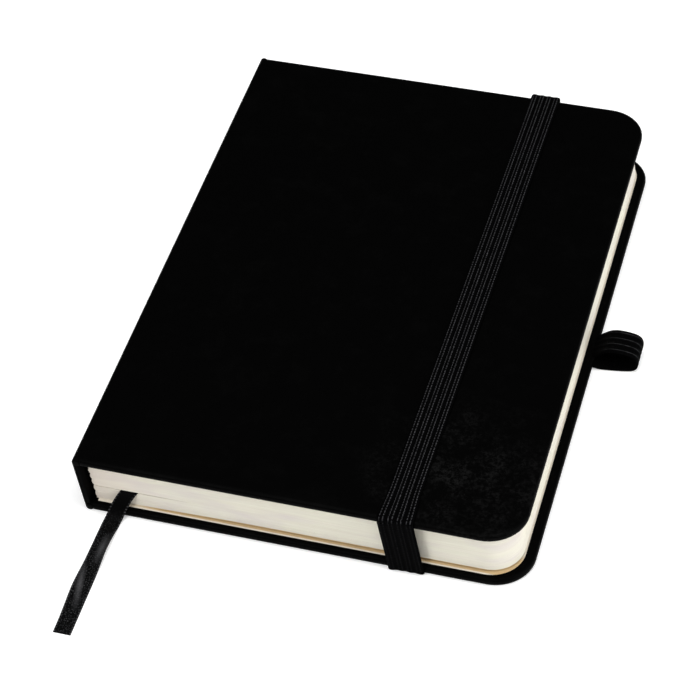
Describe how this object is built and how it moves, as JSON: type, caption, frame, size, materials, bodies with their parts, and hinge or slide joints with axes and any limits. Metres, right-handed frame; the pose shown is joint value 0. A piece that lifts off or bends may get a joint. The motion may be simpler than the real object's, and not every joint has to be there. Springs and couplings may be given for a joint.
{
  "type": "pocket notebook",
  "caption": "Hardback pocket notebook with square spine, sewn cream pages, elastic closure round the fore-edge, pen loop and ribbon marker; covers open flat.",
  "frame": {"origin": "middle of the back cover's flat outer face, which lies on the table", "axes": "+X from the spine to the fore-edge, +Y from the tail to the head, +Z from the back cover to the front cover"},
  "size_m": [0.1169, 0.1846, 0.0178],
  "materials": {
    "leatherette": "matt, fine grain",
    "board": "grey board",
    "endpaper": "matt cream",
    "pages": "matt cream",
    "thread": "waxed thread",
    "lining_cloth": "open weave",
    "elastic": "ribbed knit",
    "ribbon": "satin weave"
  },
  "bodies": {
    "back_cover": {"back_cover_skin": "leatherette", "back_cover_board": "board", "back_pastedown": "endpaper", "back_flyleaf": "endpaper", "pen_loop": "elastic", "elastic_anchor_tail": "elastic", "elastic_anchor_head": "elastic", "elastic_leg_tail": "elastic", "elastic_leg_head": "elastic"},
    "spine": {"spine_skin": "leatherette", "spine_card": "board", "spine_lining": "lining_cloth"},
    "front_cover": {"front_cover_skin": "leatherette", "front_cover_board": "board", "front_pastedown": "endpaper", "front_flyleaf": "endpaper"},
    "closure": {"elastic_band": "elastic"},
    "section_1": {"section_1": "pages", "section_1_thread": "thread"},
    "section_2": {"section_2": "pages", "section_2_thread": "thread", "ribbon_marker": "ribbon", "ribbon_tail": "ribbon"},
    "section_3": {"section_3": "pages", "section_3_thread": "thread"},
    "section_4": {"section_4": "pages", "section_4_thread": "thread"},
    "section_5": {"section_5": "pages", "section_5_thread": "thread"},
    "section_6": {"section_6": "pages", "section_6_thread": "thread"}
  },
  "joints": [
    {"name": "spine_hinge", "type": "hinge", "parent": "back_cover", "child": "spine", "pos_m": [-0.0515, 0, 0.001], "axis": [0, -1, 0], "range_deg": [0, 83.87]},
    {"name": "front_cover_hinge", "type": "hinge", "parent": "spine", "child": "front_cover", "pos_m": [-0.0531, 0, 0.0159], "axis": [0, -1, 0], "range_deg": [0, 96.13]},
    {"name": "section_1_slide", "type": "slide", "parent": "back_cover", "child": "section_1", "axis": [-1, 0, 0], "range_m": [0, 0.00429]},
    {"name": "section_2_slide", "type": "slide", "parent": "back_cover", "child": "section_2", "axis": [-1, 0, 0], "range_m": [0, 0.00763]},
    {"name": "section_3_slide", "type": "slide", "parent": "front_cover", "child": "section_3", "axis": [-1, 0, 0], "range_m": [0, 0.00879]},
    {"name": "section_4_slide", "type": "slide", "parent": "front_cover", "child": "section_4", "axis": [-1, 0, 0], "range_m": [0, 0.00964]},
    {"name": "section_5_slide", "type": "slide", "parent": "front_cover", "child": "section_5", "axis": [-1, 0, 0], "range_m": [0, 0.00861]},
    {"name": "section_6_slide", "type": "slide", "parent": "front_cover", "child": "section_6", "axis": [-1, 0, 0], "range_m": [0, 0.00487]},
    {"name": "closure_slide", "type": "slide", "parent": "back_cover", "child": "closure", "axis": [0, 0, -1], "range_m": [0, 0.0099], "deforming": ["elastic_leg_tail", "elastic_leg_head"]}
  ],
  "couplings": [
    {"joint": "spine_hinge", "follows": "front_cover_hinge", "ratio": 0.87248},
    {"joint": "section_1_slide", "follows": "front_cover_hinge", "m_per_rad": 0.0025569},
    {"joint": "section_2_slide", "follows": "front_cover_hinge", "m_per_rad": 0.0045477},
    {"joint": "section_3_slide", "follows": "front_cover_hinge", "m_per_rad": 0.0052391},
    {"joint": "section_4_slide", "follows": "front_cover_hinge", "m_per_rad": 0.0057457},
    {"joint": "section_5_slide", "follows": "front_cover_hinge", "m_per_rad": 0.0051318},
    {"joint": "section_6_slide", "follows": "front_cover_hinge", "m_per_rad": 0.0029026},
    {"joint": "closure_slide", "follows": "front_cover_hinge", "m_per_rad": 0.0059006}
  ]
}
